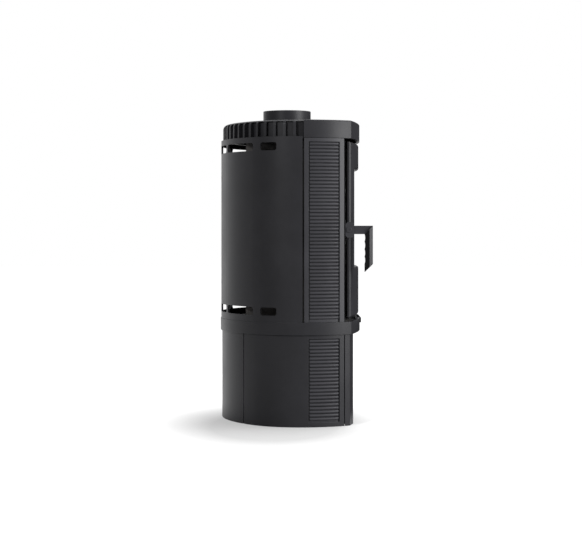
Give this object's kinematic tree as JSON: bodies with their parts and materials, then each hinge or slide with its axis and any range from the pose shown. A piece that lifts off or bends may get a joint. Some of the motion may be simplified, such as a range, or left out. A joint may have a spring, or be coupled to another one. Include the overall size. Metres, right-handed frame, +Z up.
{
  "type": "wood stove",
  "caption": "Oval cast iron wood stove on a plinth with a log niche, ribbed flanks, slotted back casing, finned top, glazed bulging door with lever handle, air slide and top flue collar.",
  "frame": {"origin": "on the floor, on the middle plane, at the oval's widest line", "axes": "+X to the stove's right seen from behind, -Y to the front where the door is, +Z up"},
  "size_m": [0.7, 0.499, 1.025],
  "materials": {
    "cast_iron": "matt charcoal stove paint on cast iron",
    "painted_steel": "matt charcoal stove paint on steel sheet",
    "bare_iron": "bare grey iron with a dull scale",
    "steel_sheet": "dull steel sheet",
    "fastener_steel": "blackened steel",
    "ceramic_glass": "smoky clear ceramic glass",
    "rope_seal": "knitted glass-fibre rope, dark grey",
    "fire_brick": "pressed fire brick, granular and matt"
  },
  "bodies": {
    "stove": {"air_guides": "steel_sheet", "ash_pan": "steel_sheet", "back_casing": "painted_steel", "baffle_plate": "fire_brick", "base_plate": "cast_iron", "belt_ring": "cast_iron", "casing_screws": "fastener_steel", "casing_standoffs": "fastener_steel", "collar_bolts": "fastener_steel", "fire_floor": "bare_iron", "fire_grate": "bare_iron", "firebox_left_wall": "bare_iron", "firebox_rear_wall": "bare_iron", "firebox_right_wall": "bare_iron", "firebox_top": "bare_iron", "flue_collar": "painted_steel", "front_frame": "cast_iron", "hearth_bolts": "fastener_steel", "hearth_plate": "bare_iron", "hinge_brackets": "cast_iron", "hinge_pins": "fastener_steel", "latch_keeper": "cast_iron", "left_bricks": "fire_brick", "left_side_panel": "cast_iron", "levelling_screws": "fastener_steel", "log_guard": "bare_iron", "plinth_left_pillar": "cast_iron", "plinth_left_side": "cast_iron", "plinth_rear_panel": "cast_iron", "plinth_right_pillar": "cast_iron", "plinth_right_side": "cast_iron", "rear_bricks": "fire_brick", "right_bricks": "fire_brick", "right_side_panel": "cast_iron", "top_plate": "cast_iron", "top_studs": "fastener_steel"},
    "door": {"door_frame": "cast_iron", "door_glass": "ceramic_glass", "glass_gasket": "rope_seal", "glass_clips": "steel_sheet", "clip_screws": "fastener_steel", "door_seal": "rope_seal", "handle_bracket": "cast_iron", "pivot_screw": "fastener_steel"},
    "handle": {"door_handle": "cast_iron"},
    "air": {"air_slide": "steel_sheet", "air_knob": "cast_iron"}
  },
  "joints": [
    {"name": "door_hinge", "type": "hinge", "parent": "stove", "child": "door", "pos_m": [0.274, -0.147, 0.628], "axis": [0, 0, 1], "range_deg": [0, 100]},
    {"name": "handle_lift", "type": "hinge", "parent": "door", "child": "handle", "pos_m": [-0.2925, -0.161, 0.6265], "axis": [-1, 0, 0], "range_deg": [0, 40]},
    {"name": "air_slide", "type": "slide", "parent": "stove", "child": "air", "axis": [1, 0, 0], "range_m": [-0.025, 0.025]}
  ]
}
